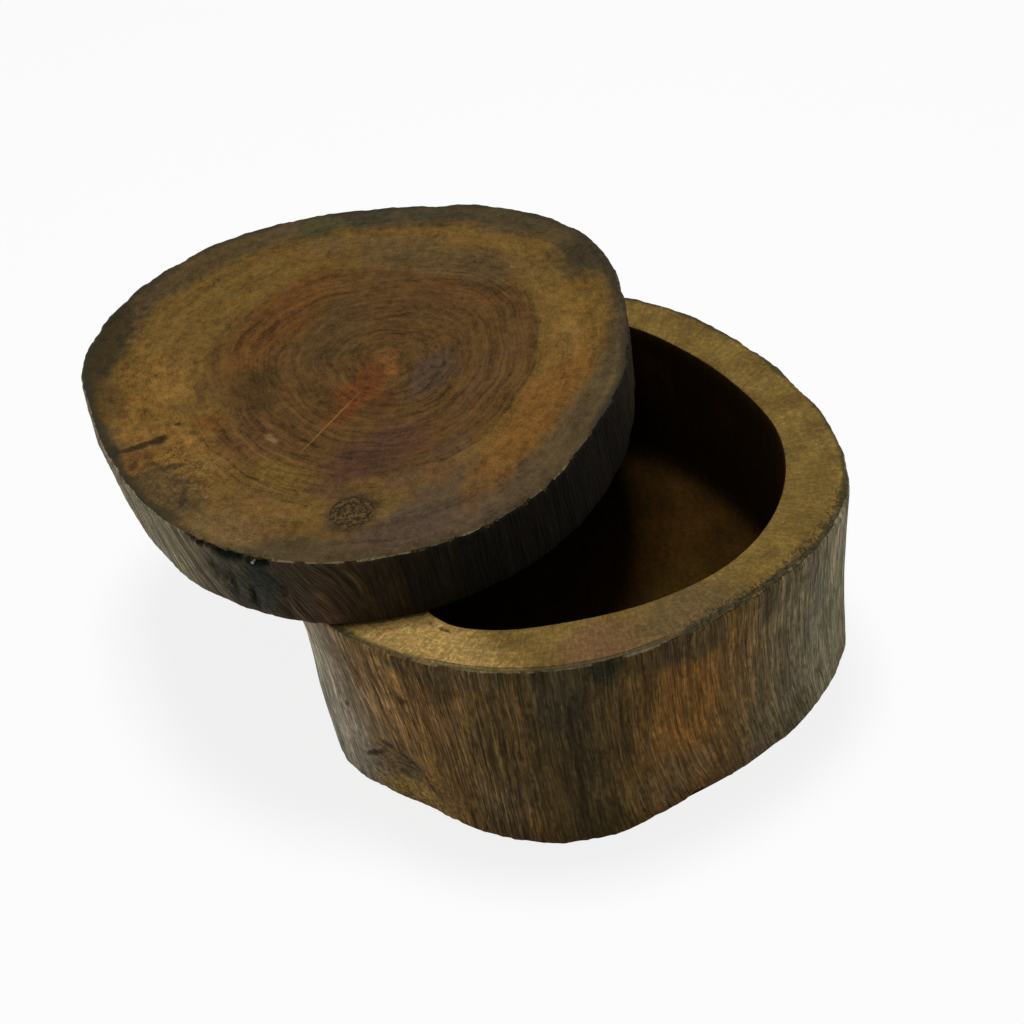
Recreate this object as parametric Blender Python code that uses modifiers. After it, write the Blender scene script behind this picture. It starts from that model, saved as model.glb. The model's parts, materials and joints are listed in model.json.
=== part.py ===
# Round keepsake box made from one natural-edge teak log.
# The lower length of the log is hollowed out as the body, and the slice sawn off above it is the lid.
# The lid swivels on one screw, driven down into a boss of the body's wall and hidden under a wood plug.
# Metres, +Z up. The origin is on the cavity's axis at the base, +X is right and +Y is back.
import bpy
import bmesh
import math

# Log: its width, and its outline as shares of half that width at sixteen equal turns from +X,
# counter-clockwise seen from above, at three heights
LOG_WIDTH = 0.1524
OUTLINE_AT_BASE = (1.050, 0.940, 0.890, 0.910, 0.925, 0.945, 0.865, 0.860,
                   0.900, 0.965, 0.885, 0.905, 0.900, 0.835, 0.875, 0.970)
OUTLINE_AT_SAW_CUT = (1.015, 0.965, 0.970, 1.015, 1.035, 1.050, 0.930, 0.925,
                      0.985, 1.045, 1.045, 1.025, 1.005, 0.985, 1.010, 1.065)
OUTLINE_AT_LID_TOP = (1.045, 0.965, 0.965, 1.005, 1.030, 1.030, 0.965, 0.970,
                      1.015, 1.050, 1.055, 1.030, 0.970, 0.980, 1.005, 1.085)

# Slices
BODY_HEIGHT = 0.0762
LID_THICKNESS = 0.0220
ARRIS_ROUNDING = 0.0010
OPEN_ANGLE = math.radians(54.5)

# Cavity: its wall's thickness at the rim, and shares of it at the same sixteen turns
WALL_THICKNESS = 0.0150
WALL_SHARES = (0.99, 0.94, 0.93, 0.89, 0.99, 1.17, 0.93, 0.97,
               1.00, 1.14, 1.01, 1.01, 1.14, 1.00, 0.96, 1.18)
CAVITY_DEPTH = 0.0510
CAVITY_FLOOR_ROUNDING = 0.0040

# Pivot, and the boss where the wall stands further in to carry it
PIVOT_TURN = math.radians(212.15)
PIVOT_INSET = 0.0180
WOOD_INSIDE_PIVOT = 0.0085
BOSS_FLAT_TURN = math.radians(12.0)
BOSS_FOOT_TURN = math.radians(28.5)

# Screw, washer and plug
SHANK_DIAMETER = 0.0042
THREAD_ROOT_DIAMETER = 0.0029
THREAD_PITCH = 0.0028
THREAD_LENGTH = 0.0300
PENETRATION = 0.0330
TIP_LENGTH = 0.0050
HEAD_DIAMETER = 0.0080
HEAD_HEIGHT = 0.0024
RECESS_WIDTH = 0.0036
RECESS_SLOT = 0.0009
RECESS_DEPTH = 0.0013
WASHER_DIAMETER = 0.0100
WASHER_THICKNESS = 0.0010
PLUG_DIAMETER = 0.0110
PLUG_THICKNESS = 0.0060
PLUG_CHAMFER = 0.0003

# Clearances
SEAT_GAP = 0.0003
RUNNING_GAP = 0.0003
GAP_OVER_HEAD = 0.0006
SPARE_PILOT_DEPTH = 0.0010

# Fineness of the meshes
LOG_SEGMENTS = 128
LOG_LEVELS = 4
ROUNDING_STEPS = 2
SMALL_SEGMENTS = 32
SCREW_SEGMENTS = 16
STEPS_A_THREAD = 4

# Heights that follow
LID_BOTTOM = BODY_HEIGHT + SEAT_GAP
LID_TOP = LID_BOTTOM + LID_THICKNESS
CAVITY_FLOOR = BODY_HEIGHT - CAVITY_DEPTH
PLUG_BOTTOM = LID_TOP - PLUG_THICKNESS
HEAD_TOP = PLUG_BOTTOM - GAP_OVER_HEAD
HEAD_BOTTOM = HEAD_TOP - HEAD_HEIGHT
WASHER_TOP = HEAD_BOTTOM - SEAT_GAP
WASHER_BOTTOM = WASHER_TOP - WASHER_THICKNESS
COUNTERBORE_FLOOR = WASHER_BOTTOM - SEAT_GAP
SCREW_TIP = BODY_HEIGHT - PENETRATION
PILOT_FLOOR = SCREW_TIP - SPARE_PILOT_DEPTH


def remove_everything():
    for thing in list(bpy.data.objects):
        bpy.data.objects.remove(thing, do_unlink=True)
    for old in list(bpy.data.collections):
        bpy.data.collections.remove(old)


def new_collection(name):
    collection = bpy.data.collections.new(name)
    bpy.context.scene.collection.children.link(collection)
    return collection


def new_material(name, colour, roughness, metallic=0.0):
    material = bpy.data.materials.new(name)
    material.use_nodes = True
    shader = material.node_tree.nodes["Principled BSDF"]
    shader.inputs["Base Color"].default_value = (*colour, 1.0)
    shader.inputs["Roughness"].default_value = roughness
    shader.inputs["Metallic"].default_value = metallic
    material.diffuse_color = (*colour, 1.0)
    return material


def share_at(turn, shares):
    # A smooth closed curve through equally spaced shares: each span is a cubic set by its four neighbours
    place = (turn / math.tau * len(shares)) % len(shares)
    first = int(place)
    along = place - first
    before, start, end, after = (shares[(first + step) % len(shares)] for step in (-1, 0, 1, 2))
    slope_at_start = (end - before) / 2
    slope_at_end = (after - start) / 2
    rise = end - start
    return (start + slope_at_start * along
            + (3 * rise - 2 * slope_at_start - slope_at_end) * along ** 2
            + (slope_at_start + slope_at_end - 2 * rise) * along ** 3)


def log_radius(turn, height):
    # The log narrows evenly from the saw cut to the base, and changes evenly from the cut to the lid's top
    at_cut = share_at(turn, OUTLINE_AT_SAW_CUT)
    if height <= BODY_HEIGHT:
        share = height / BODY_HEIGHT
        return LOG_WIDTH / 2 * ((1 - share) * share_at(turn, OUTLINE_AT_BASE) + share * at_cut)
    share = min(1.0, (height - BODY_HEIGHT) / (LID_TOP - BODY_HEIGHT))
    return LOG_WIDTH / 2 * ((1 - share) * at_cut + share * share_at(turn, OUTLINE_AT_LID_TOP))


def wall_face(turn):
    # How far the cavity's wall stands from the axis where there is no boss
    return log_radius(turn, BODY_HEIGHT) - WALL_THICKNESS * share_at(turn, WALL_SHARES)


def pivot_place():
    # The pivot is set in from the log's side at the saw cut
    radius = log_radius(PIVOT_TURN, BODY_HEIGHT) - PIVOT_INSET
    return radius * math.cos(PIVOT_TURN), radius * math.sin(PIVOT_TURN)


def cavity_radius(turn, height):
    # The wall, and over the boss a flat face that runs out to the wall in two smooth flanks, at every height
    boss_face = math.hypot(*pivot_place()) - WOOD_INSIDE_PIVOT
    boss_rise = wall_face(PIVOT_TURN) - boss_face
    from_pivot = abs((turn - PIVOT_TURN + math.pi) % math.tau - math.pi)
    up_flank = (BOSS_FOOT_TURN - from_pivot) / (BOSS_FOOT_TURN - BOSS_FLAT_TURN)
    up_flank = max(0.0, min(1.0, up_flank))
    return wall_face(turn) - boss_rise * up_flank ** 2 * (3 - 2 * up_flank)


def stand_prism(bm, bottom, top, levels):
    # An upright prism whose corners carry their turn; its levels are then moved to their heights and radii
    height = top - bottom
    bmesh.ops.create_cone(bm, cap_ends=True, segments=LOG_SEGMENTS, radius1=1.0, radius2=1.0, depth=height)
    bmesh.ops.translate(bm, verts=bm.verts, vec=(0, 0, (top + bottom) / 2))
    uprights = [edge for edge in bm.edges if abs(edge.verts[0].co.z - edge.verts[1].co.z) > height / 2]
    bmesh.ops.subdivide_edges(bm, edges=uprights, cuts=levels - 2, use_grid_fill=False)


def rounded_heights(bottom, top, rounding, plain_levels, round_top=True):
    # Heights from bottom to top, each with how far a rounded arris is drawn in there
    bends = [math.pi / 2 * step / ROUNDING_STEPS for step in range(ROUNDING_STEPS + 1)]
    arris = [(rounding * (1 - math.cos(bend)), rounding * (1 - math.sin(bend))) for bend in bends]
    lower = [(bottom + rise, drawn_in) for rise, drawn_in in arris]
    upper = [(top - rise, drawn_in) for rise, drawn_in in reversed(arris)] if round_top else [(top, 0.0)]
    start, finish = lower[-1][0], upper[0][0]
    even = (finish - start) / (plain_levels + 1)
    middle = [(start + even * level, 0.0) for level in range(1, plain_levels + 1)]
    return lower + middle + upper


def shaped_prism(name, heights, radius_of, collection, material=None, origin=(0.0, 0.0, 0.0)):
    # A closed solid through the given heights, as wide as radius_of(turn, height) less what is drawn in there
    bm = bmesh.new()
    bottom, top = heights[0][0], heights[-1][0]
    stand_prism(bm, bottom, top, len(heights))
    even_step = (top - bottom) / (len(heights) - 1)
    for vert in bm.verts:
        level = round((vert.co.z - bottom) / even_step)
        turn = math.atan2(vert.co.y, vert.co.x)
        height, drawn_in = heights[level]
        radius = radius_of(turn, height) - drawn_in
        vert.co = (radius * math.cos(turn), radius * math.sin(turn), height)
    bmesh.ops.translate(bm, verts=bm.verts, vec=(-origin[0], -origin[1], -origin[2]))
    return finished_object(name, bm, collection, material)


def finished_object(name, bm, collection, material=None):
    bmesh.ops.recalc_face_normals(bm, faces=bm.faces)
    mesh = bpy.data.meshes.new(name)
    bm.to_mesh(mesh)
    bm.free()
    mesh.shade_smooth()
    mesh.set_sharp_from_angle(angle=math.radians(40))
    thing = bpy.data.objects.new(name, mesh)
    collection.objects.link(thing)
    if material:
        mesh.materials.append(material)
    return thing


def turned(name, profile, segments, collection, material=None, closed_profile=False):
    # A turned piece: radius and height pairs, down the outer side, swept round Z by a Screw modifier
    bm = bmesh.new()
    points = [bm.verts.new((radius, 0.0, height)) for radius, height in profile]
    pairs = list(zip(points, points[1:]))
    if closed_profile:
        pairs.append((points[-1], points[0]))
    for pair in pairs:
        bm.edges.new(pair)
    mesh = bpy.data.meshes.new(name)
    bm.to_mesh(mesh)
    bm.free()
    thing = bpy.data.objects.new(name, mesh)
    collection.objects.link(thing)
    if material:
        mesh.materials.append(material)
    screw = thing.modifiers.new("turn", "SCREW")
    screw.steps = screw.render_steps = segments
    screw.use_merge_vertices = True
    screw.merge_threshold = 0.00001
    screw.use_smooth_shade = True
    return thing


def made_mesh(thing):
    # The object's mesh as its modifiers leave it, in place of the modifiers
    graph = bpy.context.evaluated_depsgraph_get()
    mesh = bpy.data.meshes.new_from_object(thing.evaluated_get(graph))
    thing.modifiers.clear()
    thing.data = mesh
    return mesh


def upright_cutter(name, diameter, bottom, top, place):
    bm = bmesh.new()
    radius = diameter / 2
    bmesh.ops.create_cone(bm, cap_ends=True, segments=SMALL_SEGMENTS, radius1=radius, radius2=radius,
                          depth=top - bottom)
    bmesh.ops.translate(bm, verts=bm.verts, vec=(0, 0, (top + bottom) / 2))
    cutter = finished_object(name, bm, cutters)
    cutter.location = place
    return as_cutter(cutter)


def as_cutter(thing):
    thing.hide_render = True
    thing.display_type = "WIRE"
    return thing


def cut(thing, cutter):
    boolean = thing.modifiers.new("cut_" + cutter.name, "BOOLEAN")
    boolean.operation = "DIFFERENCE"
    boolean.solver = "EXACT"
    boolean.object = cutter


def body_piece():
    # One length of log, with the cavity and its boss cut from above and a pilot hole for the screw
    heights = rounded_heights(0.0, BODY_HEIGHT, ARRIS_ROUNDING, LOG_LEVELS)
    body = shaped_prism("box_body", heights, log_radius, pieces, teak_sides)
    cavity_heights = rounded_heights(CAVITY_FLOOR, LID_TOP, CAVITY_FLOOR_ROUNDING, 1, round_top=False)
    cavity = shaped_prism("cavity", cavity_heights, cavity_radius, cutters)
    cut(body, as_cutter(cavity))
    pilot_diameter = SHANK_DIAMETER + 2 * SEAT_GAP
    cut(body, upright_cutter("pilot_hole", pilot_diameter, PILOT_FLOOR, LID_TOP, (*pivot_place(), 0.0)))
    return body


def lid_piece(pivot):
    # The slice above the saw cut, bored for the screw and counterbored for its head and the plug
    heights = rounded_heights(LID_BOTTOM, LID_TOP, ARRIS_ROUNDING, LOG_LEVELS // 2)
    lid = shaped_prism("lid", heights, log_radius, pieces, teak_end_grain, origin=pivot.location)
    lid.parent = pivot
    at_screw = (0.0, 0.0, -BODY_HEIGHT)
    bore_diameter = SHANK_DIAMETER + 2 * RUNNING_GAP
    counterbore_diameter = PLUG_DIAMETER + 2 * SEAT_GAP
    above_lid = LID_TOP + LID_THICKNESS
    bore = upright_cutter("lid_bore", bore_diameter, BODY_HEIGHT / 2, above_lid, at_screw)
    counterbore = upright_cutter("counterbore", counterbore_diameter, COUNTERBORE_FLOOR, above_lid, at_screw)
    for cutter in (bore, counterbore):
        cutter.parent = pivot
        cut(lid, cutter)
    return lid


def plug_piece(pivot):
    # A short dowel glued over the screw head, flush with the lid
    radius = PLUG_DIAMETER / 2
    top, bottom = LID_TOP - BODY_HEIGHT, PLUG_BOTTOM - BODY_HEIGHT
    profile = [(0.0, top), (radius - PLUG_CHAMFER, top), (radius, top - PLUG_CHAMFER),
               (radius, bottom + PLUG_CHAMFER), (radius - PLUG_CHAMFER, bottom), (0.0, bottom)]
    plug = turned("pivot_plug", profile, SMALL_SEGMENTS, pieces, plug_wood)
    plug.parent = pivot
    return plug


def washer_piece():
    inner = SHANK_DIAMETER / 2 + RUNNING_GAP
    outer = WASHER_DIAMETER / 2
    profile = [(inner, WASHER_TOP), (outer, WASHER_TOP), (outer, WASHER_BOTTOM), (inner, WASHER_BOTTOM)]
    washer = turned("pivot_washer", profile, SMALL_SEGMENTS, pieces, steel, closed_profile=True)
    washer.location = (*pivot_place(), 0.0)
    return washer


def thread_radius(turn, height):
    # A helical ridge from root to crest, fading in at the shank and tapering to the point
    root, crest = THREAD_ROOT_DIAMETER / 2, SHANK_DIAMETER / 2
    phase = ((height - SCREW_TIP) / THREAD_PITCH - turn / math.tau) % 1.0
    ridge = max(0.0, 1 - abs(phase - 0.5) * 4)
    taper = min(1.0, (height - SCREW_TIP) / TIP_LENGTH)
    return (root + (crest - root) * ridge) * taper


def screw_piece():
    # A pan-head wood screw: turned to its profile, then threaded, then its cross recess is cut
    shank = SHANK_DIAMETER / 2
    head = HEAD_DIAMETER / 2
    thread_top = SCREW_TIP + THREAD_LENGTH
    crown_steps = 2 * ROUNDING_STEPS
    bends = [math.pi / 2 * step / crown_steps for step in range(crown_steps + 1)]
    crown = [(head * math.sin(bend), HEAD_BOTTOM + HEAD_HEIGHT / 2 * (1 + math.cos(bend))) for bend in bends]
    profile = crown + [(head, HEAD_BOTTOM), (shank, HEAD_BOTTOM), (shank, thread_top + THREAD_PITCH)]
    stations = round(THREAD_LENGTH / THREAD_PITCH) * STEPS_A_THREAD
    profile += [(shank, thread_top - THREAD_LENGTH * step / stations) for step in range(stations)]
    profile.append((0.0, SCREW_TIP))
    screw = turned("pivot_screw", profile, SCREW_SEGMENTS, pieces, steel)
    mesh = made_mesh(screw)
    for vert in mesh.vertices:
        on_axis = math.hypot(vert.co.x, vert.co.y) < shank / 2
        if vert.co.z < thread_top and not on_axis:
            turn = math.atan2(vert.co.y, vert.co.x)
            radius = thread_radius(turn, vert.co.z)
            vert.co.x, vert.co.y = radius * math.cos(turn), radius * math.sin(turn)
    screw.location = (*pivot_place(), 0.0)
    for name, turn in (("recess", 0.0), ("recess_across", math.pi / 2)):
        bm = bmesh.new()
        bmesh.ops.create_cube(bm, size=1.0)
        bmesh.ops.scale(bm, verts=bm.verts, vec=(RECESS_WIDTH, RECESS_SLOT, 2 * RECESS_DEPTH))
        slot = as_cutter(finished_object(name, bm, cutters))
        slot.location = (*pivot_place(), HEAD_TOP)
        slot.rotation_euler.z = turn
        cut(screw, slot)
    return screw


remove_everything()
pieces = new_collection("teak_box")
cutters = new_collection("cutters")
teak_sides = new_material("weathered_teak_side", (0.055, 0.032, 0.017), 0.75)
teak_end_grain = new_material("oiled_teak_end_grain", (0.135, 0.072, 0.030), 0.60)
plug_wood = new_material("dark_plug_wood", (0.050, 0.037, 0.022), 0.70)
steel = new_material("zinc_plated_steel", (0.55, 0.55, 0.53), 0.35, metallic=1.0)

swivel = bpy.data.objects.new("lid_swivel", None)
swivel.location = (*pivot_place(), BODY_HEIGHT)
swivel.rotation_euler.z = OPEN_ANGLE
pieces.objects.link(swivel)

body_piece()
lid_piece(swivel)
plug_piece(swivel)
washer_piece()
screw_piece()
bpy.context.view_layer.update()
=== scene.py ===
# A round keepsake box made from one natural-edge teak log, with a slice of the same log as its swivel lid.
# Metres, +Z up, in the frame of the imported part: the cavity's axis is upright through the origin.
import json
import math

import bpy
import numpy as np
from mathutils import Matrix, Vector, noise
from mathutils.bvhtree import BVHTree

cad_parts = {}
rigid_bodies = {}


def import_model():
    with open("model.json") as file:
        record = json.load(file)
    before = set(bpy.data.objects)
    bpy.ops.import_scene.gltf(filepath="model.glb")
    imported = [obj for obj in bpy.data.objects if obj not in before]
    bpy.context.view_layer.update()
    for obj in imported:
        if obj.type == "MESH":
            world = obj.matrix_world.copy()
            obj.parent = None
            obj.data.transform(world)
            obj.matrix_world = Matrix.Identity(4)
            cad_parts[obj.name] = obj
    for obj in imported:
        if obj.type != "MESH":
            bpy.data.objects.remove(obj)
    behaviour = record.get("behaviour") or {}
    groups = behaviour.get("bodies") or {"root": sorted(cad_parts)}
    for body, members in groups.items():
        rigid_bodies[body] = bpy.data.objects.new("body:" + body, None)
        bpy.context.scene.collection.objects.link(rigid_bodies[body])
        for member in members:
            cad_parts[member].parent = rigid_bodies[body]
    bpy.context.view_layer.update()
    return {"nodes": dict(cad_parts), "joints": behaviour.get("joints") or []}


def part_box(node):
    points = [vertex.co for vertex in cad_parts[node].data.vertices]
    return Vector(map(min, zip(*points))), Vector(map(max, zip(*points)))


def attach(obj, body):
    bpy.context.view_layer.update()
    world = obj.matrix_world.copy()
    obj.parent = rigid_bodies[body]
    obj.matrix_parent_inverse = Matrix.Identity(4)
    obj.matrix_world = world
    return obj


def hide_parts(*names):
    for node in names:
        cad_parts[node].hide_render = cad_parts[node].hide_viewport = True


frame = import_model()
nodes = frame["nodes"]


# The viewpoint
# A long lens half a metre away, looking down at 42 degrees and leaning a little to one side.
FRAME_PIXELS = 1024
FOCAL_PIXELS = 2262
SENSOR_WIDTH = 36.0
LOOKING_DOWN = math.radians(42.18)
LEANING = math.radians(-7.75)
VIEWPOINT = (-0.01213, -0.46301, 0.48093)

camera_data = bpy.data.cameras.new("camera")
camera_data.sensor_width = SENSOR_WIDTH
camera_data.lens = SENSOR_WIDTH * FOCAL_PIXELS / FRAME_PIXELS
camera = bpy.data.objects.new("camera", camera_data)
bpy.context.collection.objects.link(camera)
tilt = Matrix.Rotation(math.pi / 2 - LOOKING_DOWN, 4, "X") @ Matrix.Rotation(LEANING, 4, "Z")
camera.matrix_world = Matrix.Translation(VIEWPOINT) @ tilt
bpy.context.scene.camera = camera
bpy.context.scene.view_settings.view_transform = "Standard"


# The table and the light
# A white table and backdrop, one soft light straight overhead and a low pale card on each side.
class Wire:
    """One socket of a material. Arithmetic on it adds Math nodes, and add() adds any other node."""

    def __init__(self, tree, socket=None):
        self.tree = tree
        self.socket = socket

    def add(self, kind, settings, sockets, output=0):
        node = self.tree.nodes.new("ShaderNode" + kind)
        for name, value in settings.items():
            if name == "stops":
                while len(node.color_ramp.elements) < len(value):
                    node.color_ramp.elements.new(0.5)
                for element, (place, colour) in zip(node.color_ramp.elements, value):
                    element.position = place
                    element.color = (*colour, 1)
            else:
                setattr(node, name, value)
        for name, value in sockets.items():
            if isinstance(value, Wire):
                self.tree.links.new(value.socket, node.inputs[name])
            elif isinstance(value, tuple) and len(value) == 3 and node.inputs[name].type == "RGBA":
                node.inputs[name].default_value = (*value, 1)
            else:
                node.inputs[name].default_value = value
        return Wire(self.tree, node.outputs[output]) if node.outputs else None

    def math(self, operation, *values):
        return self.add("Math", {"operation": operation}, dict(enumerate(values)))

    def vector(self, operation, *values):
        return self.add("VectorMath", {"operation": operation}, dict(enumerate(values)))

    def __add__(self, other):
        return self.math("ADD", self, other)

    def __radd__(self, other):
        return self.math("ADD", other, self)

    def __sub__(self, other):
        return self.math("SUBTRACT", self, other)

    def __rsub__(self, other):
        return self.math("SUBTRACT", other, self)

    def __mul__(self, other):
        return self.math("MULTIPLY", self, other)

    def absolute(self):
        return self.math("ABSOLUTE", self)

    def most(self, other):
        return self.math("MAXIMUM", self, other)

    def between(self, low, high):
        # 0 below low, 1 above high and a smooth step between them; low may be the larger
        return self.add("MapRange", {"interpolation_type": "SMOOTHSTEP"},
                        {"Value": self, "From Min": low, "From Max": high})

    def stretched(self, scale, turn=0, place=(0, 0, 0)):
        # A vector scaled along each axis, then turned about the upright one and moved
        return self.add("Mapping", {"vector_type": "POINT"},
                        {"Vector": self, "Location": place, "Rotation": (0, 0, turn), "Scale": scale})

    def noise(self, size=1, detail=2, roughness=0.5, place=(0, 0, 0), coloured=False):
        # A noise whose blotches are about that size, or have a size along each axis
        if isinstance(size, tuple):
            squeezed = self.stretched(tuple(1 / one for one in size), place=place)
            return squeezed.noise(1, detail, roughness, coloured=coloured)
        return self.add("TexNoise", {}, {"Vector": self, "Scale": 1 / size, "Detail": detail,
                                         "Roughness": roughness}, output=1 if coloured else 0)

    def threads(self, width):
        # Thin lines, 1 where a noise passes its middle value
        return (self - 0.5).absolute().between(width, 0)

    def part(self, axis):
        # One number of a vector, by its axis
        return self.add("SeparateXYZ", {}, {0: self}, output="XYZ".index(axis))

    def sector(self, start, finish, fade=5):
        # 1 between two turns about the upright axis, in degrees from +X, fading in and out
        turn = self.turn()
        return turn.between(start, start + fade) * turn.between(finish, finish - fade)

    def turn(self):
        # The turn about the upright axis, 0 to 360 degrees from +X
        turn = self.math("ARCTAN2", self.part("Y"), self.part("X")) * math.degrees(1)
        return self.math("WRAP", turn, 360, 0)

    def patch(self, centre, size, turn=0, lean=0):
        # 1 at a point, falling evenly to 0 at the surface of an ellipsoid of those half sizes
        spot = self.add("Mapping", {"vector_type": "TEXTURE"},
                        {"Vector": self, "Location": centre, "Rotation": (lean, 0, turn), "Scale": size})
        return self.add("TexGradient", {"gradient_type": "SPHERICAL"}, {"Vector": spot}, output=1)

    def blended(self, tint, amount):
        # This colour, with another, as it is seen on a screen, laid over it by that amount
        return self.add("Mix", {"data_type": "RGBA"}, {"Factor": amount, 6: self, 7: seen(*tint)}, output=2)

    def drifted(self, drift, amounts):
        # This colour, its red, green and blue each drifting up and down with a coloured noise
        swing = self.vector("MULTIPLY_ADD", drift, tuple(2 * amount for amount in amounts),
                            tuple(1 - amount for amount in amounts))
        return self.vector("MULTIPLY", self, swing)

    def brightened(self, factor):
        # This colour times a number, or a vector moved or stretched alike along its axes
        return self.add("VectorMath", {"operation": "SCALE"}, {0: self, "Scale": factor})

    def nudged(self, distance, size, detail=2):
        # This place, moved about by up to that distance, so that a mask on it has a wandering edge
        drift = self.noise(size, detail, coloured=True)
        centred = self.vector("SUBTRACT", drift, (0.5, 0.5, 0.5))
        return self.vector("MULTIPLY_ADD", centred, (2 * distance,) * 3, self)


def seen(red, green, blue):
    # A colour as it is seen on a screen, 0 to 255, as the linear value that Blender wants
    return tuple((part / 255 / 12.92) if part <= 10 else ((part / 255 + 0.055) / 1.055) ** 2.4
                 for part in (red, green, blue))


def new_finish(name):
    material = bpy.data.materials.new(name)
    material.use_nodes = True
    return material, Wire(material.node_tree)


def deselect_all():
    for thing in bpy.context.view_layer.objects:
        thing.select_set(False)


def plainly_seen(wires):
    # 1 where the camera, or a reflection, looks straight at this surface, and 0 for the light that it gives
    outputs = wires.tree.nodes.new("ShaderNodeLightPath").outputs
    camera_ray, glossy_ray, glass_ray = (
        Wire(wires.tree, outputs["Is %s Ray" % kind]) for kind in ("Camera", "Glossy", "Transmission"))
    return camera_ray.most(glossy_ray).most(glass_ray)


TABLE_SIZE = 6.0
TABLE_GAP = 0.0002
TABLE_GLOW = 0.85
ROOM_FILL = 0.14
WHITE = (1.0, 1.0, 1.0)

room = bpy.data.worlds.new("room")
bpy.context.scene.world = room
room.use_nodes = True
room.node_tree.nodes.clear()
wires = Wire(room.node_tree)
fill = wires.add("Background", {}, {"Color": WHITE, "Strength": ROOM_FILL})
backdrop = wires.add("Background", {}, {"Color": WHITE, "Strength": 1.0})
room_look = wires.add("MixShader", {}, {0: plainly_seen(wires), 1: fill, 2: backdrop})
wires.add("OutputWorld", {}, {"Surface": room_look})

deselect_all()
bpy.ops.mesh.primitive_plane_add(size=TABLE_SIZE, location=(0.0, 0.0, -TABLE_GAP))
table = bpy.context.object
table.name = "table"
bpy.ops.object.transform_apply()
table_white, wires = new_finish("table_white")
wires.tree.nodes.clear()
lit_table = wires.add("BsdfDiffuse", {}, {"Color": (0.95, 0.95, 0.95)})
glow = wires.add("Emission", {}, {"Color": WHITE, "Strength": 1.0})
table_look = wires.add("MixShader", {}, {0: plainly_seen(wires) * TABLE_GLOW, 1: lit_table, 2: glow})
wires.add("OutputMaterial", {}, {"Surface": table_look})
table.data.materials.append(table_white)


def soft_light(name, place, target, size, power):
    data = bpy.data.lights.new(name, "AREA")
    data.shape = "RECTANGLE"
    data.size, data.size_y = size
    data.energy = power
    light = bpy.data.objects.new(name, data)
    bpy.context.collection.objects.link(light)
    towards = Vector(target) - Vector(place)
    light.matrix_world = Matrix.Translation(place) @ towards.to_track_quat("-Z", "Y").to_matrix().to_4x4()
    light.visible_camera = False


soft_light("light_overhead", (0.0, 0.04, 1.25), (0.0, 0.0, 0.05), (0.30, 0.30), 11.5)
soft_light("card_on_the_left", (-0.90, -0.10, 0.07), (0.0, 0.0, 0.04), (0.50, 0.12), 2.2)
soft_light("card_on_the_right", (0.90, -0.10, 0.07), (0.0, 0.0, 0.04), (0.50, 0.12), 1.8)


# The log's body
# The lower length of one teak log with its bark stripped off, sawn flat at both ends and hollowed out.
# Its side is fibrous and weathered, its rim is a clean saw cut, and its hollow is stained dark.
BLANK_WALL = 0.070
BLANK_HOLLOW = 0.055
BODY_SPOKES = 960
PITH_IN_LOG = (0.0056, -0.0111)


def steps(start, finish, count):
    # Evenly spaced values after start, up to and with finish
    return [start + (finish - start) * step / count for step in range(1, count + 1)]


def turned_blank(name, profile, spokes, centre):
    # A blank turned from its profile of radius and height pairs, which starts and ends on the axis
    deselect_all()
    bpy.ops.mesh.primitive_plane_add(size=0.002, location=(*centre, 0.0))
    blank = bpy.context.object
    blank.name = blank.data.name = name
    bpy.ops.object.mode_set(mode="EDIT")
    bpy.ops.mesh.select_all(action="SELECT")
    bpy.ops.mesh.merge(type="CENTER")
    bpy.ops.transform.translate(value=(profile[0][0], 0.0, profile[0][1]))
    for before, after in zip(profile, profile[1:]):
        step = (after[0] - before[0], 0.0, after[1] - before[1])
        bpy.ops.mesh.extrude_region_move(TRANSFORM_OT_translate={"value": step})
    bpy.ops.object.mode_set(mode="OBJECT")
    turning = blank.modifiers.new("turning", "SCREW")
    turning.steps = turning.render_steps = spokes
    turning.use_merge_vertices = True
    turning.merge_threshold = 0.000002
    bpy.ops.object.modifier_apply(modifier="turning")
    bpy.ops.object.transform_apply()
    bpy.ops.object.mode_set(mode="EDIT")
    bpy.ops.mesh.select_all(action="SELECT")
    bpy.ops.mesh.normals_make_consistent(inside=False)
    bpy.ops.object.mode_set(mode="OBJECT")
    return blank


def vectors_of(parts, name):
    flat = np.empty(len(parts) * 3, dtype=np.float32)
    parts.foreach_get(name, flat)
    return flat.reshape(-1, 3).astype(float)


def positions_of(thing):
    return vectors_of(thing.data.vertices, "co")


def move_to(thing, places):
    thing.data.vertices.foreach_set("co", places.astype(np.float32).ravel())
    thing.data.update()


def at_height(height, radii):
    return [(radius, height) for radius in radii]


def at_radius(radius, heights):
    return [(radius, height) for height in heights]


def foot_corner(bottom):
    # The profile's way from the sawn foot round its arris to the side
    return [(BLANK_WALL - ARRIS, bottom), (BLANK_WALL - ARRIS * 0.3, bottom + ARRIS * 0.3),
            (BLANK_WALL, bottom + ARRIS)]


def top_corner(top):
    # The profile's way from the side round the arris to the sawn top, with a few close rings just inside
    return [(BLANK_WALL - ARRIS * 0.3, top - ARRIS * 0.3),
            *at_height(top, (BLANK_WALL - inward for inward in CLOSE_RINGS))]


def rounds_of(blank, centre, low, low_ring, high, high_ring):
    # Each point's turn, radius and height about the blank's axis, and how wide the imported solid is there
    across, back, heights = (positions_of(blank) - (*centre, 0.0)).T
    turns = np.arctan2(back, across)
    share_up = (heights - low) / (high - low)
    wall = ring_value(low_ring, turns) * (1 - share_up) + ring_value(high_ring, turns) * share_up
    return turns, np.hypot(across, back), heights, wall


def solid_tree(node):
    return BVHTree.FromObject(nodes[node], bpy.context.evaluated_depsgraph_get())


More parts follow.
